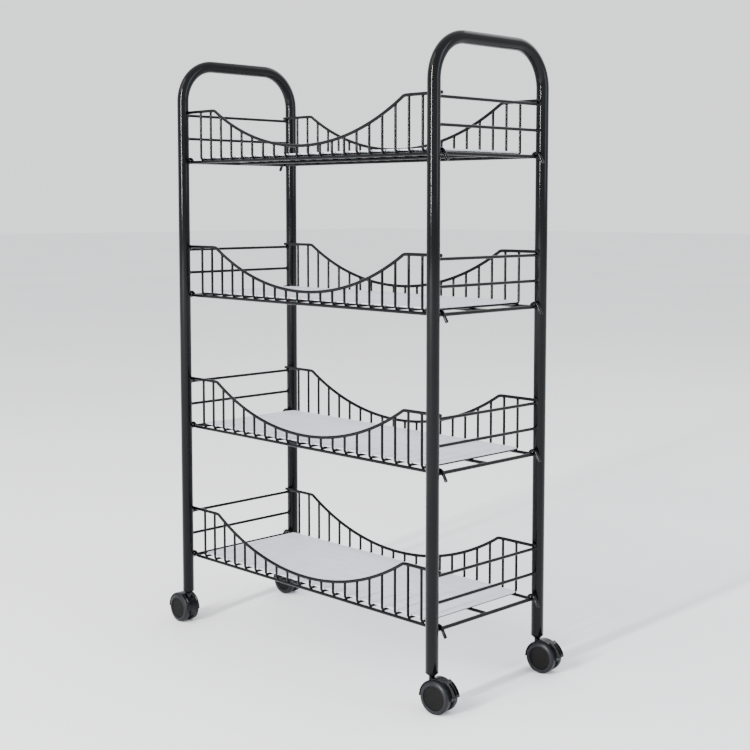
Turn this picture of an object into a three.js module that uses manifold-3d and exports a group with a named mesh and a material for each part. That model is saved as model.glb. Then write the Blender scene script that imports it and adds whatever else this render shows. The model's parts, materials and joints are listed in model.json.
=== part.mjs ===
// Book cart: two bent-tube end frames on twin-wheel casters carry four welded wire baskets, each with a
// loose plastic floor sheet. Millimetres, +Z up. X runs along the baskets, the readers' side faces -Y, and
// the origin is on the floor under the middle of the cart.

import * as THREE from 'three';
import Module from 'manifold-3d';
import { mergeVertices } from 'three/addons/utils/BufferGeometryUtils.js';

const wasm = await Module();
wasm.setup();

// ---------- driving dimensions ----------

const GAP = 0.3;                 // air between separate pieces that touch on the real cart

const POST_X = 300;              // post centres, from the middle of the cart
const POST_Y = 125;
const TUBE_R = 10;
const TUBE_WALL = 1.2;
const TUBE_FOOT_Z = 59;
const HOOP_TOP_Z = 996;          // centre line of the hoop's top
const HOOP_BEND_R = 65;

const TIERS = 4;                 // tier 1 is the lowest
const FIRST_TIER_Z = 120;        // crossbar and floor rod centre line of tier 1
const TIER_PITCH = 235.4;

const CROSSBAR_R = 3;
const GUARD_R = 2.5;
const GUARD_RISE = { mid: 41, upper: 81.5 };

const WIRE = 4.4;                // thickness of the basket's upright and floor wires
const ROD = 5.4;                 // thickness of its top rails and floor rods
const WIRE_COUNT = 20;
const WIRE_PITCH = 28;
const PANEL_Y = 112;             // upright wires and top rails
const ROD_Y = 110;               // outer floor rods
const WIRE_BEND_R = 5;
const FLOOR_RISE = 4;            // floor wires, above the rods' centre line
const RAIL_RISE = 87;            // top rails, above the rods' centre line
const RAIL_HALF = 305;
const SWOOP_HALF = 228;          // the top rail dips between these two kinks
const SWOOP_DEPTH = 67;
const MID_ROD_HALF = POST_X - CROSSBAR_R - GAP;

// The outer rods climb over the crossbar in an arc and lean out in a tail.
const HOOK_R = 7.3;
const HOOK_DROP = 1.3;           // the arc's centre, below the crossbar's
const HOOK_RAMP = 2.5;           // length of the bend that leads into the arc
const HOOK_SPRING = THREE.MathUtils.degToRad(14);   // the arc starts this far up its own circle
const HOOK_LEAN = THREE.MathUtils.degToRad(30);
const HOOK_TAIL_Z = -11;

const LINER_HALF_X = 274;
const LINER_HALF_Y = 104.5;
const LINER_THICK = 2;
const LINER_CORNER_R = 6;

const WHEEL_R = 25;
const WHEEL_WIDTH = 10.5;
const TRAIL = 13;                // axle, behind the swivel axis
const WEB_HALF = 4.6;            // half thickness of the hood's middle web
const HOOD_HALF = 14;
const HOOD_R = 27.6;
const HOOD_SHELL = 2;
const HOOD_CHAMFER = 2.4;        // width of the sloped rim on each side of the hood's crown
const HOOD_END_Z = 24;
const WEB_FLOOR = [[-24.6, 14], [-6, 16], [6, 16]];   // x behind the axle and z, from the leading end
const AXLE_R = 2.5;
const CAP_THICK = 3;             // the wheel's outer face closes its bore
const STEM_R = 3;
const STEM_TOP_Z = 89;
const STEM_FOOT_Z = 28;
const NECK_R = 4.5;
const POCKET_R = 5.7;
const SADDLE_Z = 44;             // floor of the pocket that the neck stands in
const SOCKET_CONE_Z = 53;
const SLEEVE_LENGTH = 34;
const RUNNING = 0.08;            // radial clearance of a shaft in its hole

// A braked caster bares its wheels behind the neck, where the hood narrows towards the pedal's toe.
const WAIST_X = [1, 6, 42];
const WAIST_HALF = [15, 9.5, 7.5];
const PEDAL_INNER_R = 28;
const PEDAL_THICK = 3;           // at its upper edge
const PEDAL_SWELL = 2.6;         // more than that at the toe
const PEDAL_TOP = THREE.MathUtils.degToRad(62);   // the pedal's ends, as angles about the axle
const PEDAL_TOE = THREE.MathUtils.degToRad(8);
const PEDAL_INSET = 0.8;         // from the hood's edges on both sides

// x and y signs of each post, and the way the caster trails, in degrees from +X
const CORNERS = {
  front_left: { x: -1, y: -1, yaw: 180, brake: false },
  rear_left: { x: -1, y: 1, yaw: 185, brake: false },
  front_right: { x: 1, y: -1, yaw: 8, brake: true },
  rear_right: { x: 1, y: 1, yaw: 8, brake: true },
};

const tierZ = (tier) => FIRST_TIER_Z + TIER_PITCH * (tier - 1);
const vec = (x, y, z) => new THREE.Vector3(x, y, z);

// ---------- materials ----------

const plain = (color, roughness, metalness) => (
  new THREE.MeshStandardMaterial({ color, roughness, metalness })
);
const coatedSteel = () => plain(0x1c1d1f, 0.42, 0.35);
const greySheet = () => plain(0xb9bcc6, 0.6, 0);
const blackNylon = () => plain(0x18191b, 0.5, 0);
const greyRubber = () => plain(0x4b4d55, 0.7, 0);
const darkSteel = () => plain(0x2a2a2d, 0.35, 0.8);
const brightSteel = () => plain(0x8c8f93, 0.3, 0.9);

// ---------- geometry helpers ----------

// A path through given points, stepped from point to point, with the section held square to the mitre.
class WirePath extends THREE.Curve {
  constructor(points) {
    super();
    this.points = points;
  }

  getPoint(t, target = new THREE.Vector3()) {
    const last = this.points.length - 1;
    const i = Math.min(Math.floor(t * last), last - 1);
    return target.lerpVectors(this.points[i], this.points[i + 1], t * last - i);
  }

  getPointAt(t, target) {
    return this.getPoint(t, target);
  }

  getTangentAt(t, target = new THREE.Vector3()) {
    const last = this.points.length - 1;
    const i = Math.round(t * last);
    target.set(0, 0, 0);
    if (i > 0) target.add(this.points[i].clone().sub(this.points[i - 1]).normalize());
    if (i < last) target.add(this.points[i + 1].clone().sub(this.points[i]).normalize());
    return target.normalize();
  }
}

// The polyline through the corners, each turned with its own radius in the given number of steps.
function rounded(corners, steps) {
  const points = [];
  corners.forEach(({ at, r = 0 }, i) => {
    if (!r) {
      points.push(at);
      return;
    }
    const back = corners[i - 1].at.clone().sub(at).normalize();
    const on = corners[i + 1].at.clone().sub(at).normalize();
    const half = back.angleTo(on) / 2;
    const centre = back.clone().add(on).setLength(r / Math.sin(half)).add(at);
    const spoke = at.clone().addScaledVector(back, r / Math.tan(half)).sub(centre);
    const axis = back.clone().cross(on).normalize();
    for (let k = 0; k <= steps; k++) {
      points.push(spoke.clone().applyAxisAngle(axis, -(Math.PI - 2 * half) * (k / steps)).add(centre));
    }
  });
  return points;
}

// Points on an arc in a plane of constant y. Angles run from +X towards +Z, in radians.
function arcXZ(x, y, z, r, from, to, steps) {
  return Array.from({ length: steps + 1 }, (_, k) => {
    const a = from + (to - from) * (k / steps);
    return vec(x + r * Math.cos(a), y, z + r * Math.sin(a));
  });
}

const ring = (r, sides, turn = 0) => Array.from({ length: sides }, (_, k) => {
  const a = turn + (2 * Math.PI * k) / sides;
  return new THREE.Vector2(r * Math.cos(a), r * Math.sin(a));
});

const square = (side) => new THREE.Shape(ring(side * Math.SQRT1_2, 4, Math.PI / 4));

const sweep = (shape, points) => new THREE.ExtrudeGeometry(
  shape, { steps: points.length - 1, extrudePath: new WirePath(points) },
);

const rodY = (r, length, sides) => new THREE.CylinderGeometry(r, r, length, sides);
const rodZ = (r, length, sides) => rodY(r, length, sides).rotateX(Math.PI / 2);

const box = (low, high) => new THREE.BoxGeometry(high[0] - low[0], high[1] - low[1], high[2] - low[2])
  .translate((low[0] + high[0]) / 2, (low[1] + high[1]) / 2, (low[2] + high[2]) / 2);

// An outline in X and Z, pulled to both sides of y = 0.
function plateXZ(outline, halfWidth) {
  const shape = new THREE.Shape(outline.map((p) => new THREE.Vector2(p.x, p.z)));
  return new THREE.ExtrudeGeometry(shape, { depth: 2 * halfWidth, bevelEnabled: false })
    .rotateX(Math.PI / 2).translate(0, halfWidth, 0);
}

// A half outline in X, mirrored about y = 0 and pulled from the floor up through the whole caster.
function planXY(xs, halves) {
  const edge = xs.map((x, i) => new THREE.Vector2(x, halves[i]));
  const mirrored = edge.map((p) => new THREE.Vector2(p.x, -p.y)).reverse();
  const shape = new THREE.Shape([...edge, ...mirrored]);
  return new THREE.ExtrudeGeometry(shape, { depth: TUBE_FOOT_Z, bevelEnabled: false });
}

function solid(geometry) {
  geometry.deleteAttribute('normal');
  geometry.deleteAttribute('uv');
  const merged = mergeVertices(geometry, 1e-4);
  return new wasm.Manifold(new wasm.Mesh({
    numProp: 3,
    vertProperties: new Float32Array(merged.attributes.position.array),
    triVerts: new Uint32Array(merged.index.array),
  }));
}

function toGeometry(manifold) {
  const { vertProperties, triVerts } = manifold.getMesh();
  const geometry = new THREE.BufferGeometry();
  geometry.setAttribute('position', new THREE.BufferAttribute(vertProperties, 3));
  geometry.setIndex(new THREE.BufferAttribute(triVerts, 1));
  geometry.computeVertexNormals();
  return geometry;
}

const joined = (geometries) => geometries.map(solid).reduce((whole, piece) => whole.add(piece));

const cart = new THREE.Group();

function place(parent, name, geometry, material, position = vec(0, 0, 0)) {
  const mesh = new THREE.Mesh(geometry, material);
  mesh.name = name;
  mesh.position.copy(position);
  parent.add(mesh);
}

// ---------- end frames ----------

function hoop() {
  const tube = new THREE.Shape(ring(TUBE_R, 16));
  tube.holes.push(new THREE.Path(ring(TUBE_R - TUBE_WALL, 10)));
  return sweep(tube, rounded([
    { at: vec(0, -POST_Y, TUBE_FOOT_Z) },
    { at: vec(0, -POST_Y, HOOP_TOP_Z), r: HOOP_BEND_R },
    { at: vec(0, POST_Y, HOOP_TOP_Z), r: HOOP_BEND_R },
    { at: vec(0, POST_Y, TUBE_FOOT_Z) },
  ], 6));
}

function addEndFrame(side, x) {
  place(cart, `end_hoop_${side}`, hoop(), coatedSteel(), vec(x, 0, 0));
  const length = 2 * (POST_Y - TUBE_R - GAP);
  for (let tier = 1; tier <= TIERS; tier++) {
    const crossbar = rodY(CROSSBAR_R, length, 10);
    place(cart, `crossbar_${side}_${tier}`, crossbar, coatedSteel(), vec(x, 0, tierZ(tier)));
    for (const [level, rise] of Object.entries(GUARD_RISE)) {
      const guard = rodY(GUARD_R, length, 8);
      place(cart, `guard_rail_${side}_${tier}_${level}`, guard, coatedSteel(), vec(x, 0, tierZ(tier) + rise));
    }
  }
}

// ---------- wire basket, with z = 0 at its floor rods' centre line ----------

const SWOOP_R = (SWOOP_HALF ** 2 + SWOOP_DEPTH ** 2) / (2 * SWOOP_DEPTH);
const SWOOP_CENTRE_Z = RAIL_RISE - SWOOP_DEPTH + SWOOP_R;

function railHeight(x) {
  return Math.abs(x) >= SWOOP_HALF ? RAIL_RISE : SWOOP_CENTRE_Z - Math.sqrt(SWOOP_R ** 2 - x ** 2);
}

function topRail(y) {
  const reach = Math.asin(SWOOP_HALF / SWOOP_R);
  const dip = arcXZ(0, y, SWOOP_CENTRE_Z, SWOOP_R, -Math.PI / 2 - reach, -Math.PI / 2 + reach, 14);
  return sweep(square(ROD), [vec(-RAIL_HALF, y, RAIL_RISE), ...dip, vec(RAIL_HALF, y, RAIL_RISE)]);
}

// One end of an outer floor rod, from the rod's straight out over the crossbar and down its tail.
function hookEnd(y) {
  const start = Math.PI - Math.asin(HOOK_DROP / HOOK_R) - HOOK_SPRING;
  const hump = arcXZ(POST_X, y, -HOOK_DROP, HOOK_R, start, HOOK_LEAN, 5);
  const leave = hump[hump.length - 1];
  const fall = leave.z - HOOK_TAIL_Z;
  const tail = vec(leave.x + fall * Math.tan(HOOK_LEAN), y, HOOK_TAIL_Z);
  return [vec(POST_X - HOOK_R - HOOK_RAMP, y, 0), ...hump, tail];
}

function hookedRod(y) {
  const right = hookEnd(y);
  const left = right.map((p) => vec(-p.x, p.y, p.z)).reverse();
  return sweep(square(ROD), [...left, ...right]);
}

function uprightWire(x) {
  const top = railHeight(x) - ROD / 4;
  return sweep(square(WIRE), rounded([
    { at: vec(x, -PANEL_Y, top) },
    { at: vec(x, -PANEL_Y, FLOOR_RISE), r: WIRE_BEND_R },
    { at: vec(x, PANEL_Y, FLOOR_RISE), r: WIRE_BEND_R },
    { at: vec(x, PANEL_Y, top) },
  ], 2));
}

function basket() {
  const pieces = [topRail(-PANEL_Y), topRail(PANEL_Y), hookedRod(-ROD_Y), hookedRod(ROD_Y)];
  pieces.push(box([-MID_ROD_HALF, -ROD / 2, -ROD / 2], [MID_ROD_HALF, ROD / 2, ROD / 2]));
  for (let k = 0; k < WIRE_COUNT; k++) {
    pieces.push(uprightWire((k - (WIRE_COUNT - 1) / 2) * WIRE_PITCH));
  }
  return toGeometry(joined(pieces));
}

function liner() {
  const sheet = rounded([
    { at: vec(-LINER_HALF_X, 0, 0) },
    { at: vec(-LINER_HALF_X, LINER_HALF_Y, 0), r: LINER_CORNER_R },
    { at: vec(LINER_HALF_X, LINER_HALF_Y, 0), r: LINER_CORNER_R },
    { at: vec(LINER_HALF_X, -LINER_HALF_Y, 0), r: LINER_CORNER_R },
    { at: vec(-LINER_HALF_X, -LINER_HALF_Y, 0), r: LINER_CORNER_R },
    { at: vec(-LINER_HALF_X, 0, 0) },
  ], 3).slice(1);
  const shape = new THREE.Shape(sheet.map((p) => new THREE.Vector2(p.x, p.y)));
  return new THREE.ExtrudeGeometry(shape, { depth: LINER_THICK, bevelEnabled: false });
}

function addTier(tier) {
  const floor = tierZ(tier) + FLOOR_RISE + WIRE / 2 + GAP;
  place(cart, `basket_${tier}`, basket(), coatedSteel(), vec(0, 0, tierZ(tier)));
  place(cart, `floor_liner_${tier}`, liner(), greySheet(), vec(0, 0, floor));
}

// ---------- casters, with the swivel axis at x = y = 0 and the axle behind it at x = TRAIL ----------

const turned = (profile, sides) => new THREE.LatheGeometry(
  profile.map(([r, z]) => new THREE.Vector2(r, z)), sides,
).rotateX(Math.PI / 2);

// Plastic sleeve pushed into the tube's foot, with a cone under the tube's end.
function stemSocket() {
  const bore = STEM_R + RUNNING;
  const sleeve = TUBE_R - TUBE_WALL - 2 * GAP;
  const seat = TUBE_FOOT_Z - GAP;
  return turned([
    [bore, SOCKET_CONE_Z], [NECK_R + 1, SOCKET_CONE_Z], [TUBE_R, seat - 1], [TUBE_R, seat],
    [sleeve, seat], [sleeve, seat + SLEEVE_LENGTH], [bore, seat + SLEEVE_LENGTH], [bore, SOCKET_CONE_Z],
  ], 16);
}

// Steel pin with a neck collar: the collar stands on the hood and the socket turns on it.
function casterStem() {
  return turned([
    [0, STEM_FOOT_Z], [STEM_R, STEM_FOOT_Z], [STEM_R, SADDLE_Z + GAP], [NECK_R, SADDLE_Z + GAP],
    [NECK_R, SOCKET_CONE_Z - GAP], [STEM_R, SOCKET_CONE_Z - GAP], [STEM_R, STEM_TOP_Z], [0, STEM_TOP_Z],
  ], 12);
}

// Fender over both wheels, with a web between them that holds the stem and the axle.
function casterHood(brake) {
  const inner = HOOD_R - HOOD_SHELL;
  const rim = HOOD_HALF - HOOD_CHAMFER;
  const fender = new THREE.LatheGeometry([
    [inner, -HOOD_HALF], [inner + HOOD_SHELL / 2, -HOOD_HALF], [HOOD_R, -rim], [HOOD_R, rim],
    [inner + HOOD_SHELL / 2, HOOD_HALF], [inner, HOOD_HALF], [inner, -HOOD_HALF],
  ].map(([r, y]) => new THREE.Vector2(r, y)), 24).translate(TRAIL, 0, WHEEL_R);
  const web = plateXZ([
    ...arcXZ(TRAIL, 0, WHEEL_R, inner + HOOD_SHELL / 2, 0, Math.PI, 12),
    ...WEB_FLOOR.map(([x, z]) => vec(TRAIL + x, 0, z)),
  ], WEB_HALF);
  const across = 3 * HOOD_HALF;
  const pocketDepth = TUBE_FOOT_Z - SADDLE_Z;
  const stemHole = SADDLE_Z - STEM_FOOT_Z + GAP;
  const cuts = [
    rodZ(POCKET_R, pocketDepth, 14).translate(0, 0, SADDLE_Z + pocketDepth / 2),
    box([-HOOD_R, -POCKET_R, SADDLE_Z], [0, POCKET_R, TUBE_FOOT_Z]),
    rodZ(STEM_R + GAP, 2 * stemHole, 14).translate(0, 0, SADDLE_Z),
    rodY(AXLE_R + RUNNING, across, 14).translate(TRAIL, 0, WHEEL_R),
  ];
  const lower = box([-HOOD_R, -across, -WHEEL_R], [TRAIL + 2 * HOOD_R, across, HOOD_END_Z]);
  let body = solid(fender).subtract(solid(lower)).add(solid(web));
  if (brake) {
    body = body.intersect(solid(planXY([-HOOD_R, ...WAIST_X], [WAIST_HALF[0], ...WAIST_HALF])));
  }
  for (const cut of cuts) body = body.subtract(solid(cut));
  return toGeometry(body);
}

// Rocking pedal on the back of the hood: a curved wedge that narrows and thickens to its toe.
function brakePedal() {
  const steps = 6;
  const face = Array.from({ length: steps + 1 }, (_, k) => {
    const a = PEDAL_TOP + (PEDAL_TOE - PEDAL_TOP) * (k / steps);
    const r = PEDAL_INNER_R + PEDAL_THICK + PEDAL_SWELL * (k / steps);
    return vec(TRAIL + r * Math.cos(a), 0, WHEEL_R + r * Math.sin(a));
  });
  const under = arcXZ(TRAIL, 0, WHEEL_R, PEDAL_INNER_R, PEDAL_TOE, PEDAL_TOP, steps);
  const waist = WAIST_HALF.map((half) => half - PEDAL_INSET);
  const toe = TRAIL + PEDAL_INNER_R + PEDAL_THICK + PEDAL_SWELL;
  const plan = planXY([...WAIST_X, toe], [...waist, waist[2]]);
  return toGeometry(solid(plateXZ([...face, ...under], HOOD_HALF)).intersect(solid(plan)));
}

// Wheel about the Y axis, centred on y = 0, with its domed cap towards -Y.
function wheel() {
  const half = WHEEL_WIDTH / 2;
  const bore = AXLE_R + RUNNING;
  return new THREE.LatheGeometry([
    [0, -half], [WHEEL_R - 5.5, -half], [WHEEL_R, 2.4 - half], [WHEEL_R, half - 1.2],
    [WHEEL_R - 1.2, half], [bore, half], [bore, CAP_THICK - half], [0, CAP_THICK - half],
  ].map(([r, y]) => new THREE.Vector2(r, y)), 20);
}

function addCaster(corner, { x, y, yaw, brake }) {
  place(cart, `stem_socket_${corner}`, stemSocket(), blackNylon(), vec(x * POST_X, y * POST_Y, 0));
  const caster = new THREE.Group();
  caster.position.set(x * POST_X, y * POST_Y, 0);
  caster.rotation.z = THREE.MathUtils.degToRad(yaw);
  cart.add(caster);
  place(caster, `caster_hood_${corner}`, casterHood(brake), blackNylon());
  place(caster, `caster_stem_${corner}`, casterStem(), darkSteel());
  const axle = rodY(AXLE_R, 2 * (WEB_HALF + WHEEL_WIDTH - CAP_THICK), 14);
  place(caster, `axle_${corner}`, axle, brightSteel(), vec(TRAIL, 0, WHEEL_R));
  const offset = WEB_HALF + GAP + WHEEL_WIDTH / 2;
  place(caster, `wheel_a_${corner}`, wheel(), greyRubber(), vec(TRAIL, -offset, WHEEL_R));
  place(caster, `wheel_b_${corner}`, wheel().rotateZ(Math.PI), greyRubber(), vec(TRAIL, offset, WHEEL_R));
  if (brake) place(caster, `brake_pedal_${corner}`, brakePedal(), blackNylon());
}

// ---------- assembly ----------

addEndFrame('left', -POST_X);
addEndFrame('right', POST_X);
for (let tier = 1; tier <= TIERS; tier++) addTier(tier);
for (const [corner, stance] of Object.entries(CORNERS)) addCaster(corner, stance);

export default cart;
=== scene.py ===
import json
import math
import random

import bmesh
import bpy
from mathutils import Matrix, Vector


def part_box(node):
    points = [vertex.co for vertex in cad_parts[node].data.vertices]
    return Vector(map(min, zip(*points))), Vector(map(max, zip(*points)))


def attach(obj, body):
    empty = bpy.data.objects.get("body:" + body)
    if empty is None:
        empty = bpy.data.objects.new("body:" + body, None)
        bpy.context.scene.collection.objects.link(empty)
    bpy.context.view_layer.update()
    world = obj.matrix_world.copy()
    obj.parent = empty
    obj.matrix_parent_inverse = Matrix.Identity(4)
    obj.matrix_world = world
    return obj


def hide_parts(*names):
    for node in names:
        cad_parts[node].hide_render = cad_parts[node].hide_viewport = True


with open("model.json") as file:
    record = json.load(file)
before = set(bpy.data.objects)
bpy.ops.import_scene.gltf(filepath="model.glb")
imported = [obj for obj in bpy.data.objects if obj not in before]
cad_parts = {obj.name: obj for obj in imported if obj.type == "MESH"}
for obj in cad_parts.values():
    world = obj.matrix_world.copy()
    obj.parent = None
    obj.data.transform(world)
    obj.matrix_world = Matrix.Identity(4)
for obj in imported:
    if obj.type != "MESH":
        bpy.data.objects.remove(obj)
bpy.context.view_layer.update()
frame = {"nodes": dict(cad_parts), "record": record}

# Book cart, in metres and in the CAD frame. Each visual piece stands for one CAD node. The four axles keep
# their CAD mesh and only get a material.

RANDOM = random.Random(7)
MM = 0.001
GAP = 0.3 * MM           # the CAD leaves this much between parts that touch
CORNERS = ("front_left", "rear_left", "front_right", "rear_right")
BRAKED = ("front_right", "rear_right")
TIERS = (1, 2, 3, 4)
JOINTS = {joint["name"]: joint for joint in frame["record"]["behaviour"]["joints"]}


# ---------- camera ----------

LENS, SENSOR = 63.84, 36.0
VIEW_DROP = 0.08         # lens shift, as a share of the picture's width
CAMERA_AT = Vector((1.613, -1.540, 0.750))
CAMERA_TURN, CAMERA_TILT = math.radians(45.37), math.radians(4.70)


def make_camera():
    data = bpy.data.cameras.new("camera")
    data.lens, data.sensor_width = LENS, SENSOR
    data.shift_y = -VIEW_DROP
    camera = bpy.data.objects.new("camera", data)
    camera.rotation_euler = (math.pi / 2 - CAMERA_TILT, 0, CAMERA_TURN)
    camera.location = CAMERA_AT
    bpy.context.scene.collection.objects.link(camera)
    bpy.context.scene.camera = camera


make_camera()


# ---------- materials ----------

class Nodes:
    """A short way to write a material's node tree."""

    def __init__(self, name):
        self.material = bpy.data.materials.new(name)
        self.material.use_nodes = True
        self.tree = self.material.node_tree
        self.shader = self.tree.nodes["Principled BSDF"]

    def add(self, kind, **settings):
        node = self.tree.nodes.new(kind)
        for key, value in settings.items():
            if key in node.inputs:
                node.inputs[key].default_value = value
            else:
                setattr(node, key, value)
        return node

    def link(self, source, target):
        self.tree.links.new(source, target)

    def coordinates(self, scale=(1, 1, 1)):
        place = self.add("ShaderNodeTexCoord")
        mapping = self.add("ShaderNodeMapping", Scale=scale)
        self.link(place.outputs["Object"], mapping.inputs["Vector"])
        return mapping.outputs["Vector"]

    def noise(self, vector, scale, detail=3.0, rough=0.55):
        node = self.add("ShaderNodeTexNoise", Scale=scale, Detail=detail, Roughness=rough)
        self.link(vector, node.inputs["Vector"])
        return node.outputs["Fac"]

    def ramp(self, value, stops):
        node = self.add("ShaderNodeValToRGB")
        elements = node.color_ramp.elements
        while len(elements) < len(stops):
            elements.new(0.5)
        for element, (at, color) in zip(elements, stops):
            element.position = at
            element.color = (*color, 1)
        self.link(value, node.inputs["Fac"])
        return node.outputs["Color"]

    def grey(self, value, low, high, start=0.3, end=0.7):
        return self.ramp(value, [(start, (low,) * 3), (end, (high,) * 3)])

    def blend(self, factor, a, b):
        node = self.add("ShaderNodeMix", data_type="RGBA")
        self.link(factor, node.inputs["Factor"])
        for socket, colour in zip((node.inputs[6], node.inputs[7]), (a, b)):
            if isinstance(colour, tuple):
                socket.default_value = (*colour, 1)
            else:
                self.link(colour, socket)
        return node.outputs[2]

    def bumps(self, *layers):
        normal = None
        for height, strength, distance in layers:
            node = self.add("ShaderNodeBump", Strength=strength, Distance=distance)
            self.link(height, node.inputs["Height"])
            if normal is not None:
                self.link(normal, node.inputs["Normal"])
            normal = node.outputs["Normal"]
        self.link(normal, self.shader.inputs["Normal"])

    def surface(self, color, roughness, **fixed):
        self.link(color, self.shader.inputs["Base Color"])
        self.link(roughness, self.shader.inputs["Roughness"])
        for name, value in fixed.items():
            self.shader.inputs[name.replace("_", " ")].default_value = value
        return self.material


def powder_coat():
    """Black powder coat: a fine orange peel, a slow change of tone and a few dusty specks."""
    n = Nodes("powder_coat")
    at = n.coordinates()
    tone = n.ramp(n.noise(at, 9, 2), [(0.35, (0.0012, 0.0013, 0.0016)), (0.65, (0.0024, 0.0025, 0.0029))])
    specks = n.grey(n.noise(at, 900, 2), 0, 1, 0.68, 0.76)
    color = n.blend(specks, tone, (0.007, 0.0072, 0.008))
    rough = n.grey(n.noise(at, 45, 4), 0.10, 0.15)
    n.bumps((n.noise(at, 900, 2), 0.03, 0.0003), (n.noise(at, 160, 2), 0.05, 0.0005))
    return n.surface(color, rough, Specular_IOR_Level=0.16)


def sheet_plastic():
    """Light grey plastic sheet with a fine pressed grain and faint rub marks along its length."""
    n = Nodes("sheet_plastic")
    at = n.coordinates()
    streaks = n.noise(n.coordinates((6, 90, 40)), 1.0, 4)
    tone = n.ramp(streaks, [(0.3, (0.50, 0.515, 0.565)), (0.7, (0.60, 0.615, 0.66))])
    dust = n.grey(n.noise(at, 14, 5), 0, 0.35, 0.45, 0.75)
    color = n.blend(dust, tone, (0.66, 0.665, 0.69))
    rough = n.grey(streaks, 0.42, 0.6)
    grain = n.add("ShaderNodeTexVoronoi", Scale=850)
    n.link(at, grain.inputs["Vector"])
    n.bumps((grain.outputs["Distance"], 0.25, 0.0003), (n.noise(at, 60, 3), 0.08, 0.0006))
    return n.surface(color, rough, Subsurface_Weight=0.04)


def moulded_nylon():
    """Black moulded nylon with a fine spark-eroded grain and scuffs."""
    n = Nodes("moulded_nylon")
    at = n.coordinates()
    tone = n.ramp(n.noise(at, 60, 3), [(0.3, (0.0014, 0.0015, 0.0019)), (0.7, (0.0032, 0.0034, 0.0042))])
    scuffs = n.grey(n.noise(n.coordinates((40, 200, 320)), 1.0, 5), 0, 0.5, 0.62, 0.72)
    color = n.blend(scuffs, tone, (0.012, 0.0125, 0.0145))
    rough = n.grey(n.noise(at, 180, 3), 0.18, 0.3)
    n.bumps((n.noise(at, 1400, 1), 0.08, 0.0002))
    return n.surface(color, rough, Specular_IOR_Level=0.22)


def wheel_rubber(name, low, high, rough_low, rough_high):
    """Smooth grey wheel tread or side ring, with dust worked into it."""
    n = Nodes(name)
    at = n.coordinates()
    tone = n.ramp(n.noise(at, 90, 4), [(0.3, low), (0.7, high)])
    dust = n.grey(n.noise(at, 420, 3), 0, 0.45, 0.55, 0.75)
    color = n.blend(dust, tone, tuple(1.5 * c for c in high))
    rough = n.grey(n.noise(at, 150, 3), rough_low, rough_high)
    n.bumps((n.noise(at, 1800, 2), 0.2, 0.0002))
    return n.surface(color, rough, Specular_IOR_Level=0.17)


def cap_plastic():
    """Matt black wheel cap with a fine grain."""
    n = Nodes("cap_plastic")
    at = n.coordinates()
    tone = n.ramp(n.noise(at, 70, 3), [(0.3, (0.0020, 0.0020, 0.0018)), (0.7, (0.0035, 0.0034, 0.0031))])
    rough = n.grey(n.noise(at, 240, 4), 0.5, 0.7)
    n.bumps((n.noise(at, 2200, 2), 0.25, 0.0002))
    return n.surface(tone, rough, Specular_IOR_Level=0.10)


def plated_steel(name, low, high):
    """Zinc-plated steel, brushed round, with cloudy passivation."""
    n = Nodes(name)
    at = n.coordinates()
    tone = n.ramp(n.noise(at, 120, 4), [(0.3, low), (0.7, high)])
    rough = n.grey(n.noise(n.coordinates((300, 300, 3000)), 1.0, 2), 0.22, 0.4)
    n.bumps((n.noise(n.coordinates((200, 200, 4000)), 1.0, 2), 0.15, 0.0001))
    return n.surface(tone, rough, Metallic=1.0)


COAT = powder_coat()
SHEET = sheet_plastic()
NYLON = moulded_nylon()
TREAD = wheel_rubber("wheel_tread", (0.0095, 0.0095, 0.0115), (0.015, 0.015, 0.018), 0.4, 0.55)
SIDE_RING = wheel_rubber("wheel_ring", (0.0062, 0.0063, 0.0080), (0.0098, 0.0100, 0.0122), 0.30, 0.42)
CAP = cap_plastic()
ZINC = plated_steel("zinc_steel", (0.40, 0.41, 0.43), (0.55, 0.55, 0.54))
BLACK_ZINC = plated_steel("black_zinc", (0.018, 0.018, 0.021), (0.034, 0.033, 0.037))


# ---------- mesh helpers ----------

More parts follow.
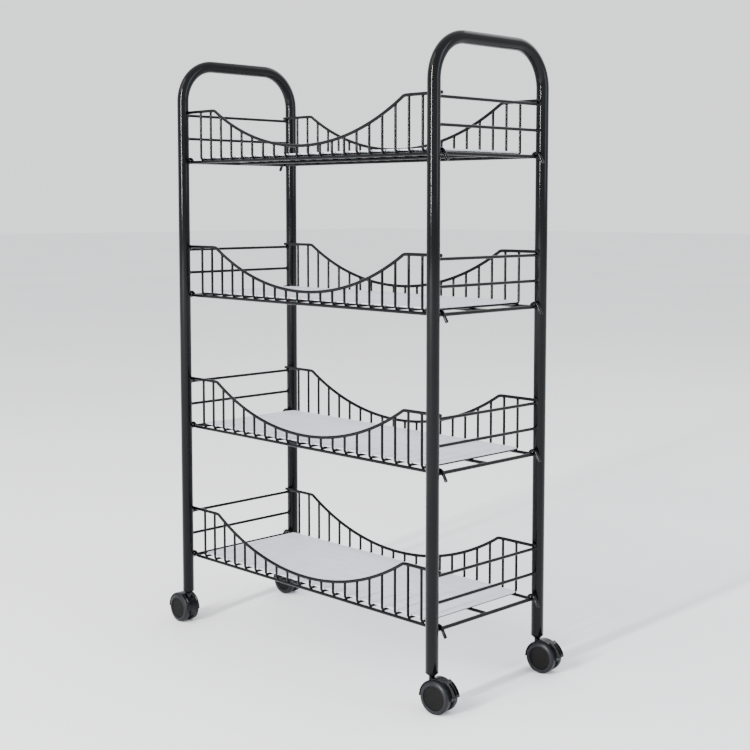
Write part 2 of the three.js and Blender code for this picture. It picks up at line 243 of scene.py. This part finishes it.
class Shape:
    """Collects closed forms into one mesh, each face with its material."""

    def __init__(self, *materials):
        self.materials = materials
        self.verts, self.faces, self.slots = [], [], []

    def add(self, verts, faces, slot=0, matrix=None):
        base = len(self.verts)
        self.verts += [matrix @ Vector(v) if matrix else Vector(v) for v in verts]
        self.faces += [[base + i for i in face] for face in faces]
        self.slots += [slot] * len(faces)

    def rings(self, rings, capped=True, matrix=None):
        """Skins rings of equally many points, and caps both ends or joins the last ring to the first."""
        count, sides = len(rings), len(rings[0])
        faces = []
        for i in range(count - 1 if capped else count):
            a, b = i * sides, ((i + 1) % count) * sides
            for j in range(sides):
                k = (j + 1) % sides
                faces.append([a + j, a + k, b + k, b + j])
        if capped:
            faces += [list(range(sides))[::-1], [(count - 1) * sides + j for j in range(sides)]]
        self.add([p for ring in rings for p in ring], faces, matrix=matrix)

    def tube(self, points, radius, sides=12, dome=0.0):
        """A round bar along a planar path, its ends rounded over the length dome."""
        points = [Vector(p) for p in points]
        radii = [radius] * len(points)
        if dome:
            for end, inner in ((0, 1), (-1, -2)):
                way = (points[end] - points[inner]).normalized()
                steps = (0.0, 0.6, 0.98)
                new_points = [points[end] - way * dome * (1 - s) for s in steps]
                new_radii = [radius * max(math.sqrt(1 - s * s), 0.2) for s in steps]
                if end == 0:
                    points[:1] = new_points[::-1]
                    radii[:1] = new_radii[::-1]
                else:
                    points[-1:] = new_points
                    radii[-1:] = new_radii
        ways = [(b - a).normalized() for a, b in zip(points, points[1:])]
        normal = ways[0].orthogonal().normalized()
        rings = []
        for i, (point, r) in enumerate(zip(points, radii)):
            before, after = ways[max(i - 1, 0)], ways[min(i, len(ways) - 1)]
            way = (before + after).normalized()
            normal = (normal - way * normal.dot(way)).normalized()
            side = way.cross(normal)
            turn = [2 * math.pi * j / sides for j in range(sides)]
            rings.append([point + r * (normal * math.cos(a) + side * math.sin(a)) for a in turn])
        self.rings(rings)

    def lathe(self, profile, sides, slot=0, matrix=None):
        """Turns a closed (radius, height) profile about Z. A radius of 0 is a pole."""
        verts, index = [], []
        for r, z in profile:
            if r < 1e-9:
                index.append([len(verts)] * sides)
                verts.append((0, 0, z))
            else:
                index.append([len(verts) + j for j in range(sides)])
                turn = [2 * math.pi * j / sides for j in range(sides)]
                verts += [(r * math.cos(a), r * math.sin(a), z) for a in turn]
        faces = []
        for a, b in zip(index, index[1:] + index[:1]):
            for j in range(sides):
                k = (j + 1) % sides
                face = list(dict.fromkeys([a[j], a[k], b[k], b[j]]))
                if len(face) > 2:
                    faces.append(face)
        self.add(verts, faces, slot, matrix)

    def object(self, name, sharp=40):
        mesh = bpy.data.meshes.new(name)
        mesh.from_pydata([tuple(v) for v in self.verts], [], self.faces)
        for material in self.materials:
            mesh.materials.append(material)
        mesh.polygons.foreach_set("material_index", self.slots)
        work = bmesh.new()
        work.from_mesh(mesh)
        bmesh.ops.remove_doubles(work, verts=work.verts, dist=1e-7)
        bmesh.ops.recalc_face_normals(work, faces=work.faces)
        work.to_mesh(mesh)
        work.free()
        mesh.polygons.foreach_set("use_smooth", [True] * len(mesh.polygons))
        mesh.set_sharp_from_angle(angle=math.radians(sharp))
        piece = bpy.data.objects.new(name, mesh)
        bpy.context.scene.collection.objects.link(piece)
        return piece


def stands_for(piece, node, body):
    """The piece takes the place of a CAD node, on its body."""
    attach(piece, body)
    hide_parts(node)


def arc(centre, radius, start, end, steps):
    """Points of an arc in the plane of constant y; angles in degrees from +X towards +Z."""
    angles = [math.radians(start + (end - start) * k / steps) for k in range(steps + 1)]
    return [Vector(centre) + radius * Vector((math.cos(a), 0, math.sin(a))) for a in angles]


def rounded(corners, steps):
    """The path through (point, radius) corners, each turned in an arc."""
    points = []
    for i, (at, r) in enumerate(corners):
        if not r:
            points.append(Vector(at))
            continue
        back = (Vector(corners[i - 1][0]) - Vector(at)).normalized()
        on = (Vector(corners[i + 1][0]) - Vector(at)).normalized()
        half = back.angle(on) / 2
        centre = Vector(at) + (back + on).normalized() * r / math.sin(half)
        spoke = Vector(at) + back * r / math.tan(half) - centre
        axis = back.cross(on).normalized()
        for k in range(steps + 1):
            turn = Matrix.Rotation(-(math.pi - 2 * half) * k / steps, 3, axis)
            points.append(centre + turn @ spoke)
    return points


def middle(node):
    low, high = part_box(node)
    return (Vector(low) + Vector(high)) / 2


def extent(node):
    low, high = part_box(node)
    return Vector(high) - Vector(low)


# ---------- end frames ----------

TUBE_R, TUBE_WALL, HOOP_BEND_R = 10 * MM, 1.2 * MM, 65 * MM
CROSSBAR_R, GUARD_R = 3 * MM, 2.5 * MM


def post_line(side):
    """One end's posts: x, the rear post's y, the height of the foot and of the hoop's centre line."""
    low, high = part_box(f"end_hoop_{side}")
    return (low[0] + high[0]) / 2, high[1] - TUBE_R, low[2], high[2] - TUBE_R


def make_hoop(side):
    """The bent tube with its bore, its two feet cut square with worn edges."""
    x, y, foot, top = post_line(side)
    line = rounded([((x, -y, foot), 0), ((x, -y, top), HOOP_BEND_R), ((x, y, top), HOOP_BEND_R),
                    ((x, y, foot), 0)], 20)
    edge_run, edge_wear = 0.6 * MM, 0.35 * MM
    lift = Vector((0, 0, edge_run))
    path = [line[0], line[0] + lift] + line[1:-1] + [line[-1] + lift, line[-1]]
    across = Vector((1, 0, 0))
    sides = 36
    turn = [2 * math.pi * j / sides for j in range(sides)]
    outside, bore = [], []
    for i, point in enumerate(path):
        way = (path[min(i + 1, len(path) - 1)] - path[max(i - 1, 0)]).normalized()
        other = way.cross(across)
        worn = edge_wear if i in (0, len(path) - 1) else 0
        for rings, size in ((outside, TUBE_R - worn), (bore, TUBE_R - TUBE_WALL + worn / 2)):
            rings.append([point + size * (across * math.cos(a) + other * math.sin(a)) for a in turn])
    shape = Shape(COAT)
    shape.rings(outside + bore[::-1], capped=False)
    stands_for(shape.object(f"tube_hoop_{side}"), f"end_hoop_{side}", "root")


def weld_collar(shape, at, inward, bar_r):
    """A bead of weld round a bar's end: at is on the post's skin, and inward points along the bar."""
    sides, lumps, lump_size, jitter = 18, 5, 0.10, 0.03
    turn = Vector((0, 0, 1)).rotation_difference(inward).to_matrix().to_4x4()
    core = bar_r * 0.9
    # The bead's skin in mm: how far out from the bar, and how far along it.
    bead = ((0.35, 3.0), (0.9, 1.7), (1.7, 0.5), (1.9, -0.9))
    profile = [(core, 3.4)] + [(bar_r + out * MM, h) for out, h in bead] + [(core, -1.1)]
    rings = []
    for r, h in profile:
        rings.append([])
        for j in range(sides):
            a = 2 * math.pi * j / sides
            lump = 1 + lump_size * math.sin(lumps * a + 900 * at.z) + RANDOM.uniform(-jitter, jitter)
            rings[-1].append((r * lump * math.cos(a), r * lump * math.sin(a), h * MM))
    shape.rings(rings, capped=False, matrix=Matrix.Translation(at) @ turn)


def make_bar(node, radius, name):
    """A straight bar between the two posts, run into both, with its weld beads."""
    centre, run_in = middle(node), 0.5 * MM
    reach = extent(node).y / 2 + GAP
    shape = Shape(COAT)
    ends = [centre + Vector((0, s * (reach + run_in), 0)) for s in (-1, 1)]
    shape.tube(ends, radius, sides=20)
    for s in (-1, 1):
        weld_collar(shape, centre + Vector((0, s * reach, 0)), Vector((0, -s, 0)), radius)
    stands_for(shape.object(name), node, "root")


def make_end_frame(side):
    make_hoop(side)
    for tier in TIERS:
        make_bar(f"crossbar_{side}_{tier}", CROSSBAR_R, f"floor_bar_{side}_{tier}")
        for level in ("mid", "upper"):
            make_bar(f"guard_rail_{side}_{tier}_{level}", GUARD_R, f"guard_bar_{side}_{tier}_{level}")


# ---------- wire baskets ----------

WIRE_R, ROD_R = 2.2 * MM, 2.7 * MM
WIRE_COUNT, WIRE_PITCH = 20, 28 * MM
PANEL_Y, ROD_Y = 112 * MM, 110 * MM
WIRE_BEND_R, FLOOR_RISE, RAIL_RISE = 5 * MM, 4 * MM, 87 * MM
RAIL_HALF, SWOOP_HALF, SWOOP_DEPTH, KINK_R = 305 * MM, 228 * MM, 67 * MM, 9 * MM
MID_ROD_HALF = 296.7 * MM
HOOK_R, HOOK_DROP, HOOK_RAMP = 7.3 * MM, 1.3 * MM, 2.5 * MM
HOOK_SPRING, HOOK_LEAN, HOOK_TAIL = 14, 30, -11 * MM
RAIL_WELD, ROD_WELD, MID_WELD = (2.9, 2.7, 1.3), (2.8, 2.2, 1.4), (2.7, 2.9, 1.2)
RAIL_WELD_DROP, ROD_WELD_RISE, ROD_WELD_SHIFT = 2.6 * MM, 2.2 * MM, 0.6 * MM
WIRE_TOP_RISE, TIP_DOME, MID_TIP_DOME = 0.2 * MM, 0.8 * MM, 0.6 * MM
SWOOP_R = (SWOOP_HALF ** 2 + SWOOP_DEPTH ** 2) / (2 * SWOOP_DEPTH)
SWOOP_CENTRE = RAIL_RISE - SWOOP_DEPTH + SWOOP_R


def rail_height(x):
    return RAIL_RISE if abs(x) >= SWOOP_HALF else SWOOP_CENTRE - math.sqrt(SWOOP_R ** 2 - x * x)


def top_rail_line(y):
    """The flat end, a small bend at the kink, and the long dip, mirrored about the middle."""
    reach = math.degrees(math.asin(SWOOP_HALF / SWOOP_R))
    trim = math.degrees(2 * KINK_R * math.tan(math.radians(reach) / 2) / SWOOP_R) / 2
    dip = arc((0, y, SWOOP_CENTRE), SWOOP_R, -90 - reach + trim, -90 + reach - trim, 48)
    kink = Vector((SWOOP_HALF, y, RAIL_RISE))
    flat = kink + Vector((KINK_R, 0, 0))
    bend = [dip[-1].lerp(kink, t).lerp(kink.lerp(flat, t), t) for t in (0.25, 0.5, 0.75, 1.0)]
    right = bend + [Vector((RAIL_HALF, y, RAIL_RISE))]
    left = [Vector((-p.x, p.y, p.z)) for p in reversed(right)]
    return left + dip + right


def hooked_rod_line(y):
    """The floor rod climbs over the crossbar in a hump and leans outwards in a tail."""
    post_x = post_line("right")[0]
    rise = math.degrees(math.asin(HOOK_DROP / HOOK_R)) + HOOK_SPRING
    hump = arc((post_x, y, -HOOK_DROP), HOOK_R, 180 - rise, HOOK_LEAN, 14)
    fall = hump[-1].z - HOOK_TAIL
    tail = hump[-1] + Vector((fall * math.tan(math.radians(HOOK_LEAN)), 0, -fall))
    start = Vector((post_x - HOOK_R - HOOK_RAMP, y, 0))
    corner = Vector((post_x - HOOK_R, y, 0))
    foot = [start.lerp(corner, t).lerp(corner.lerp(hump[0], t), t) for t in (0, 0.25, 0.5, 0.75)]
    right = foot + hump + [tail]
    left = [Vector((-p.x, p.y, p.z)) for p in reversed(right)]
    return left + right


def weld_spot(shape, at, size):
    """A small flattened nugget where two wires are welded, its half sizes in millimetres."""
    rings, sides = [], 8
    spin = RANDOM.uniform(0, math.pi)
    half = Vector(size) * MM * RANDOM.uniform(0.92, 1.08)
    for tilt in (20, 55, 90, 125, 160):
        r, h = math.sin(math.radians(tilt)), math.cos(math.radians(tilt))
        turn = [spin + 2 * math.pi * j / sides for j in range(sides)]
        rings.append([at + Vector((r * math.cos(a), r * math.sin(a), h)) * half for a in turn])
    shape.rings(rings)


def make_basket(tier):
    """Two top rails, three floor rods and the U-shaped wires, welded where a wire crosses one of them."""
    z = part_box(f"crossbar_right_{tier}")[0][2] + CROSSBAR_R
    lift = Vector((0, 0, z))
    shape = Shape(COAT)
    for y in (-PANEL_Y, PANEL_Y):
        shape.tube([p + lift for p in top_rail_line(y)], ROD_R, sides=14, dome=TIP_DOME)
    for y in (-ROD_Y, ROD_Y):
        shape.tube([p + lift for p in hooked_rod_line(y)], ROD_R, sides=14, dome=TIP_DOME)
    mid_rod = [Vector((x, 0, z)) for x in (-MID_ROD_HALF, MID_ROD_HALF)]
    shape.tube(mid_rod, ROD_R, sides=14, dome=MID_TIP_DOME)
    for k in range(WIRE_COUNT):
        x = (k - (WIRE_COUNT - 1) / 2) * WIRE_PITCH
        top = rail_height(x) + WIRE_TOP_RISE
        line = rounded([((x, -PANEL_Y, top), 0), ((x, -PANEL_Y, FLOOR_RISE), WIRE_BEND_R),
                        ((x, PANEL_Y, FLOOR_RISE), WIRE_BEND_R), ((x, PANEL_Y, top), 0)], 6)
        shape.tube([p + lift for p in line], WIRE_R, sides=12)
        for s in (-1, 1):
            weld_spot(shape, Vector((x, s * PANEL_Y, z + top - RAIL_WELD_DROP)), RAIL_WELD)
            weld_spot(shape, Vector((x, s * (ROD_Y - ROD_WELD_SHIFT), z + ROD_WELD_RISE)), ROD_WELD)
        weld_spot(shape, Vector((x, 0, z + ROD_WELD_RISE)), MID_WELD)
    stands_for(shape.object(f"wire_basket_{tier}"), f"basket_{tier}", "root")


# ---------- floor sheets ----------

def make_liner(tier):
    """A thin sheet with rounded corners and edges that sinks very slightly between the wires under it."""
    low, high = (Vector(c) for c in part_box(f"floor_liner_{tier}"))
    half, corner, fade = (high - low) / 2, 6 * MM, 4 * MM
    columns, rows = 156, 24
    edge, sink, wave = 0.45 * MM, 0.10 * MM, 0.12 * MM

    def outline(u, v):
        """Squares the grid to the sheet and pulls its corners in to their radius."""
        x, y = u * half.x, v * half.y
        dx, dy = abs(x) - (half.x - corner), abs(y) - (half.y - corner)
        if dx > 0 and dy > 0:
            far = max(dx, dy)
            pull = far / math.hypot(dx, dy)
            x = math.copysign(half.x - corner + dx * pull, x)
            y = math.copysign(half.y - corner + dy * pull, y)
        return x, y

    def grid_line(count, reach):
        inner = [-1 + 2 * i / count for i in range(count + 1)]
        fine = [-1, -1 + edge / reach, -1 + 2.5 * edge / reach, -1 + corner / reach]
        coarse = [v for v in inner if abs(v) < 1 - 1.2 * corner / reach]
        return sorted(set(fine + [-f for f in fine] + coarse))

    us, vs = grid_line(columns, half.x), grid_line(rows, half.y)
    phase = RANDOM.uniform(0, 6)
    verts, faces = [], []
    for side in (1, 0):
        for v in vs:
            for u in us:
                x, y = outline(u, v)
                border = min(half.x * (1 - abs(u)), half.y * (1 - abs(v)))
                inward = min(border / edge, 1)
                bevel = edge * (1 - math.sqrt(max(1 - (1 - inward) ** 2, 0)))
                sag = sink * (1 - math.cos(2 * math.pi * x / WIRE_PITCH + math.pi))
                sag += wave * math.sin(9 * x + phase) * math.sin(14 * y + phase)
                z = (high.z - bevel) if side else (low.z + bevel)
                verts.append((x, y, z - sag * min(border / fade, 1)))
    width, depth = len(us), len(vs)
    for side in (0, 1):
        base = side * width * depth
        for j in range(depth - 1):
            for i in range(width - 1):
                a = base + j * width + i
                quad = [a, a + 1, a + width + 1, a + width]
                faces.append(quad if side == 0 else quad[::-1])
    rim = (list(range(width)) + [j * width + width - 1 for j in range(1, depth)]
           + [(depth - 1) * width + i for i in range(width - 2, -1, -1)]
           + [j * width for j in range(depth - 2, 0, -1)])
    for a, b in zip(rim, rim[1:] + rim[:1]):
        faces.append([b, a, a + width * depth, b + width * depth])
    shape = Shape(SHEET)
    shape.add(verts, faces)
    sheet = shape.object(f"floor_sheet_{tier}", sharp=60)
    stands_for(sheet, f"floor_liner_{tier}", "root")


# ---------- casters ----------

WHEEL_R, TRAIL, HOOD_R, HOOD_HALF = 25 * MM, 13 * MM, 27.6 * MM, 14 * MM
HOOD_SHELL, HOOD_END_Z, WEB_HALF, POCKET_R = 2 * MM, 24 * MM, 4.6 * MM, 5.7 * MM
NECK_R, STEM_R, STEM_FOOT_Z, STEM_TIP_Z = 4.5 * MM, 3 * MM, 28 * MM, 89 * MM
SADDLE_Z, CONE_Z, FOOT_Z = 44 * MM, 53 * MM, 59 * MM
WHEEL_HALF, BORE_R, CAP_R, LIP_R = 5.25 * MM, 2.6 * MM, 18.2 * MM, 19 * MM
CUT_TOP = 70 * MM        # higher than any caster part that is cut
# The lower edge of the web between the wheels, in mm: x from the axle, height and corner radius.
WEB_EDGE = ((-24.6, 14, 0), (-6, 16, 3), (6, 16, 3), (25.4, 24, 0))
# Behind the neck a braked hood narrows, in mm: x behind the swivel axis, and half the width there.
WAIST = ((1, 15), (5, 10.2), (8, 9.3), (42, 7.5), (49, 7.2))
PEDAL_INNER, PEDAL_THICK, PEDAL_SWELL, PEDAL_INSET = 28 * MM, 3 * MM, 2.6 * MM, 0.8 * MM
PEDAL_SPAN, SLOT_SPAN = (62, 8), (50, 15)    # degrees about the axle
SLOT_NEAR, SLOT_FAR, SLOT_DEPTH = 0.7 * MM, 5.2 * MM, 1.3 * MM


def caster_matrix(corner):
    """From the caster's own frame to the cart's: swivel axis at x = y = 0, wheels trailing towards +X."""
    swivel = Vector(JOINTS[f"swivel_{corner}"]["pos_m"])
    axle = Vector(JOINTS[f"roll_a_{corner}"]["pos_m"])
    way = axle - swivel
    return (Matrix.Translation((swivel.x, swivel.y, 0))
            @ Matrix.Rotation(math.atan2(way.y, way.x), 4, "Z"))


def apply_modifiers(piece):
    graph = bpy.context.evaluated_depsgraph_get()
    mesh = bpy.data.meshes.new_from_object(piece.evaluated_get(graph))
    piece.modifiers.clear()
    piece.data = mesh


def boolean(piece, other, operation):
    """Cuts or joins with Blender's exact boolean, and applies it."""
    modifier = piece.modifiers.new("boolean", "BOOLEAN")
    modifier.operation, modifier.solver, modifier.object = operation, "EXACT", other
    apply_modifiers(piece)
    bpy.data.objects.remove(other)


def merge_slivers(mesh, reach=0.01 * MM):
    """Removes the faces of no area that booleans and bevels leave."""
    work = bmesh.new()
    work.from_mesh(mesh)
    bmesh.ops.remove_doubles(work, verts=work.verts, dist=reach)
    bmesh.ops.dissolve_degenerate(work, edges=work.edges, dist=reach)
    work.to_mesh(mesh)
    work.free()


def plate(name, outline, low_y, high_y):
    """An outline in X and Z pulled from low_y to high_y."""
    shape = Shape(NYLON)
    shape.rings([[Vector((p.x, y, p.z)) for p in outline] for y in (low_y, high_y)])
    return shape.object(name)


def bevel(piece, width):
    """Rounds the edges that turn by more than 28 degrees."""
    modifier = piece.modifiers.new("bevel", "BEVEL")
    modifier.width, modifier.segments = width, 2
    modifier.limit_method, modifier.angle_limit = "ANGLE", math.radians(28)
    modifier.use_clamp_overlap = True
    apply_modifiers(piece)


def smooth(piece):
    """Shades a cut piece smooth but for its sharp edges, after its slivers are merged."""
    mesh = piece.data
    merge_slivers(mesh)
    mesh.polygons.foreach_set("use_smooth", [True] * len(mesh.polygons))
    mesh.set_sharp_from_angle(angle=math.radians(35))


def box_piece(low, high):
    """A box between two corners, to cut with."""
    section = ((low[0], low[2]), (high[0], low[2]), (high[0], high[2]), (low[0], high[2]))
    return plate("cutter", [Vector((x, 0, z)) for x, z in section], low[1], high[1])


def cylinder(radius, low, high):
    """An upright cylinder about the swivel axis."""
    shape = Shape(NYLON)
    shape.lathe([(0, low), (radius, low), (radius, high), (0, high)], 40)
    return shape.object("cutter")


def waist_piece(inset=0.0):
    """The plan of a braked caster, pulled up from the floor."""
    half = [(-HOOD_R, WAIST[0][1] * MM)] + [(x * MM, y * MM - inset) for x, y in WAIST]
    plan = half + [(x, -y) for x, y in reversed(half)]
    shape = Shape(NYLON)
    shape.rings([[Vector((x, y, z)) for x, y in plan] for z in (0, CUT_TOP)])
    return shape.object("waist")


def fender_ring(name):
    """A full ring over both wheels with rounded rims and a shallow groove beside each of them."""
    inner, crown, mid = HOOD_R - HOOD_SHELL, HOOD_R - 0.05 * MM, HOOD_R - HOOD_SHELL / 2
    rim = [(mid + (crown - mid) * math.sin(a), 11.6 * MM + 2.4 * MM * math.cos(a))
           for a in (math.radians(d) for d in range(0, 91, 15))]
    groove = [(crown, 10.4 * MM), (crown - 0.35 * MM, 10.1 * MM), (crown - 0.35 * MM, 9.5 * MM),
              (crown, 9.2 * MM)]
    half = [(inner, HOOD_HALF)] + rim + groove
    profile = half + [(r, -y) for r, y in reversed(half)]
    shape = Shape(NYLON)
    place = Matrix.Translation((TRAIL, 0, WHEEL_R)) @ Matrix.Rotation(math.pi / 2, 4, "X")
    shape.lathe(profile, 128, matrix=place)
    return shape.object(name)


def make_hood(corner):
    """Fender over both wheels, with a web between the wheels and a pocket for the neck."""
    hood = fender_ring(f"hood_{corner}")
    far = 3 * HOOD_HALF
    under = box_piece((-HOOD_R, -far, -WHEEL_R), (TRAIL + 2 * HOOD_R, far, HOOD_END_Z))
    boolean(hood, under, "DIFFERENCE")
    web = arc((TRAIL, 0, WHEEL_R), HOOD_R - HOOD_SHELL / 2, 0, 180, 56)
    web += rounded([((TRAIL + x * MM, 0, z * MM), r * MM) for x, z, r in WEB_EDGE], 5)
    boolean(hood, plate("web", web, -WEB_HALF, WEB_HALF), "UNION")
    if corner in BRAKED:
        boolean(hood, waist_piece(), "INTERSECT")
    boolean(hood, cylinder(POCKET_R, SADDLE_Z, CUT_TOP), "DIFFERENCE")
    boolean(hood, box_piece((-HOOD_R, -POCKET_R, SADDLE_Z), (0, POCKET_R, CUT_TOP)), "DIFFERENCE")
    smooth(hood)
    hood.data.transform(caster_matrix(corner))
    stands_for(hood, f"caster_hood_{corner}", f"caster_{corner}")


def wedge(inner, low, high, start, end, steps=30):
    """An outline about the axle whose outer radius grows from low to high between two angles."""
    face = []
    for k in range(steps + 1):
        turn = math.radians(start + (end - start) * k / steps)
        r = low + (high - low) * k / steps
        face.append(Vector((TRAIL + r * math.cos(turn), 0, WHEEL_R + r * math.sin(turn))))
    return face + arc((TRAIL, 0, WHEEL_R), inner, end, start, steps)


def make_pedal(corner):
    """Curved brake pedal that narrows and thickens to its toe, with two long slots beside a middle rib."""
    low, high = PEDAL_INNER + PEDAL_THICK, PEDAL_INNER + PEDAL_THICK + PEDAL_SWELL
    outline = wedge(PEDAL_INNER, low, high, *PEDAL_SPAN)
    pedal = plate(f"pedal_{corner}", outline, -HOOD_HALF, HOOD_HALF)
    boolean(pedal, waist_piece(PEDAL_INSET), "INTERSECT")
    slot = wedge(low - SLOT_DEPTH, low + 4 * MM, high + 2 * MM, *SLOT_SPAN)
    for low_y, high_y in ((-SLOT_FAR, -SLOT_NEAR), (SLOT_NEAR, SLOT_FAR)):
        boolean(pedal, plate("slot", slot, low_y, high_y), "DIFFERENCE")
    bevel(pedal, 0.25 * MM)
    smooth(pedal)
    pedal.data.transform(caster_matrix(corner))
    stands_for(pedal, f"brake_pedal_{corner}", f"brake_pedal_{corner}")


def wheel_profiles():
    """Closed profiles of the tread, the side ring and the cap. The low end is the capped face."""
    low, high, tread_r = -WHEEL_HALF, WHEEL_HALF, WHEEL_R - 0.04 * MM
    fillet, shoulder_r = 1.2 * MM, 1.6 * MM
    back_turn = [math.radians(d) for d in range(0, 91, 15)]
    back = [(tread_r - fillet * (1 - math.sin(a)), high - fillet * (1 - math.cos(a))) for a in back_turn]
    front_turn = [math.radians(d) for d in range(0, 61, 10)]
    shoulder = [(tread_r - shoulder_r * (1 - math.cos(a)), low + 3 * MM - shoulder_r * math.sin(a))
                for a in front_turn]
    seam_r, seam_y = shoulder[-1]
    cap_y, cap_back = low + 1.5 * MM, low + 2.9 * MM
    crown, back_sink = 0.4 * MM, 1.3 * MM
    tread = [(BORE_R, high - 0.5 * MM), (7 * MM, high - 0.5 * MM), (7.5 * MM, high - back_sink),
             (19 * MM, high - back_sink), (19.7 * MM, high)]
    tread += back + shoulder
    tread += [(seam_r - 0.35 * MM, seam_y + 0.15 * MM), (seam_r - 0.5 * MM, cap_back), (BORE_R, cap_back)]
    lip_y, belly = low + 0.12 * MM, 0.45 * MM
    ring = [(seam_r - 0.3 * MM, seam_y + 0.5 * MM)]
    for t in (i / 10 for i in range(1, 11)):
        swell = belly * math.sin(math.pi * t)
        ring.append((seam_r + (LIP_R - seam_r) * t, seam_y + (lip_y - seam_y) * t - swell))
    ring += [(LIP_R - 0.45 * MM, lip_y + 0.3 * MM), (CAP_R, cap_y - 0.2 * MM), (CAP_R, cap_y + 1.3 * MM),
             (seam_r - 0.6 * MM, cap_y + 1.3 * MM)]
    rim = CAP_R - 0.1 * MM
    cap = [(0, cap_y + 1.2 * MM), (rim, cap_y + 1.2 * MM), (rim, cap_y + 0.35 * MM)]
    cap += [(CAP_R * t - 0.1 * MM, cap_y - crown * (1 - t * t)) for t in (0.99, 0.94, 0.8, 0.6, 0.35)]
    cap += [(0, cap_y - crown)]
    return tread, ring, cap


def make_wheel(corner, letter):
    """Grey side ring round a sunk, slightly crowned cap, a rounded tread, and a back with a hub boss."""
    shape = Shape(TREAD, SIDE_RING, CAP)
    for slot, profile in enumerate(wheel_profiles()):
        shape.lathe(profile, 80, slot)
    wheel = shape.object(f"twin_wheel_{letter}_{corner}", sharp=35)
    side = 1 if letter == "a" else -1
    # The capped face looks away from the other wheel.
    turn = Matrix.Rotation(-math.pi / 2 * side, 4, "X")
    node = f"wheel_{letter}_{corner}"
    offset = WEB_HALF + GAP + WHEEL_HALF
    place = Matrix.Translation((TRAIL, -side * offset, WHEEL_R))
    wheel.data.transform(caster_matrix(corner) @ place @ turn)
    stands_for(wheel, node, node)


def make_stem(corner):
    """Neck collar and pin, steel, with small chamfers."""
    shape = Shape(BLACK_ZINC)
    collar, top, chamfer = SADDLE_Z + GAP, CONE_Z - GAP, 0.5 * MM
    profile = [(0, STEM_FOOT_Z), (STEM_R, STEM_FOOT_Z), (STEM_R, collar)]
    profile += [(NECK_R - chamfer, collar), (NECK_R, collar + chamfer)]
    profile += [(NECK_R, top - chamfer), (NECK_R - chamfer, top), (STEM_R, top)]
    profile += [(STEM_R, STEM_TIP_Z - chamfer), (STEM_R - chamfer, STEM_TIP_Z), (0, STEM_TIP_Z)]
    shape.lathe(profile, 40)
    stem = shape.object(f"swivel_pin_{corner}")
    stem.data.transform(caster_matrix(corner))
    stands_for(stem, f"caster_stem_{corner}", f"caster_{corner}")


def make_socket(corner):
    """Socket sleeve in the tube's foot, with a cone that closes the tube's end."""
    low, high = (point[2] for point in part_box(f"stem_socket_{corner}"))
    bore, seat = STEM_R + 0.08 * MM, FOOT_Z - GAP
    sleeve = TUBE_R - TUBE_WALL - 2 * GAP
    cone = [(bore, low), (NECK_R + 0.5 * MM, low), (NECK_R + 1 * MM, low + 0.4 * MM)]
    # The cone's rounded upper rim in mm: how far in from the tube's skin and how far under the seat.
    rim = ((1, 1.9), (0.25, 1.1), (0, 0.6), (0, 0.2), (0.2, 0))
    cone += [(TUBE_R - inset * MM, seat - drop * MM) for inset, drop in rim]
    shape = Shape(NYLON)
    shape.lathe(cone + [(sleeve, seat), (sleeve, high), (bore, high)], 48)
    socket = shape.object(f"socket_cone_{corner}")
    centre = middle(f"stem_socket_{corner}")
    socket.data.transform(Matrix.Translation((centre.x, centre.y, 0)))
    stands_for(socket, f"stem_socket_{corner}", "root")


def make_caster(corner):
    make_hood(corner)
    make_stem(corner)
    make_socket(corner)
    for letter in "ab":
        make_wheel(corner, letter)
    if corner in BRAKED:
        make_pedal(corner)
    axle = frame["nodes"][f"axle_{corner}"]
    axle.data.materials.clear()
    axle.data.materials.append(ZINC)


# ---------- studio ----------

def area_light(name, at, target, size, power, color=(1, 1, 1)):
    data = bpy.data.lights.new(name, "AREA")
    data.shape, data.energy, data.color = "RECTANGLE", power, color
    data.size, data.size_y = size
    light = bpy.data.objects.new(name, data)
    light.location = at
    light.rotation_euler = (Vector(target) - Vector(at)).to_track_quat("-Z", "Y").to_euler()
    bpy.context.scene.collection.objects.link(light)


def make_studio():
    n = Nodes("studio_floor")
    tone = n.ramp(n.noise(n.coordinates(), 0.8, 2), [(0.3, (0.86, 0.86, 0.865)), (0.7, (0.90, 0.90, 0.90))])
    rough = n.grey(n.noise(n.coordinates(), 6, 3), 0.6, 0.75)
    n.surface(tone, rough)
    shape = Shape(n.material)
    reach, height = 30.0, -0.2 * MM
    signs = ((-1, -1), (1, -1), (1, 1), (-1, 1))
    shape.add([(reach * x, reach * y, height) for x, y in signs], [[0, 1, 2, 3]])
    shape.object("studio_floor")
    world = bpy.data.worlds.new("studio")
    world.use_nodes = True
    sky = world.node_tree.nodes["Background"]
    sky.inputs["Color"].default_value = (0.96, 0.975, 1.0, 1)
    sky.inputs["Strength"].default_value = 1.5
    bpy.context.scene.world = world
    area_light("strip", (0.45, -3.9, 1.85), (0, 0, 1.5), (0.20, 2.9), 440)
    area_light("key", (-1.2, -3.0, 3.6), (0, 0, 0.4), (2.2, 2.2), 60)
    area_light("fill", (3.2, 0.9, 1.6), (0, 0, 0.5), (1.4, 2.4), 55, (0.72, 0.84, 1))
    area_light("back", (0.4, 3.2, 2.8), (0, 0, 0.5), (2.4, 2.4), 35)


# ---------- assembly ----------

for end in ("left", "right"):
    make_end_frame(end)
for level in TIERS:
    make_basket(level)
    make_liner(level)
for name in CORNERS:
    make_caster(name)
make_studio()
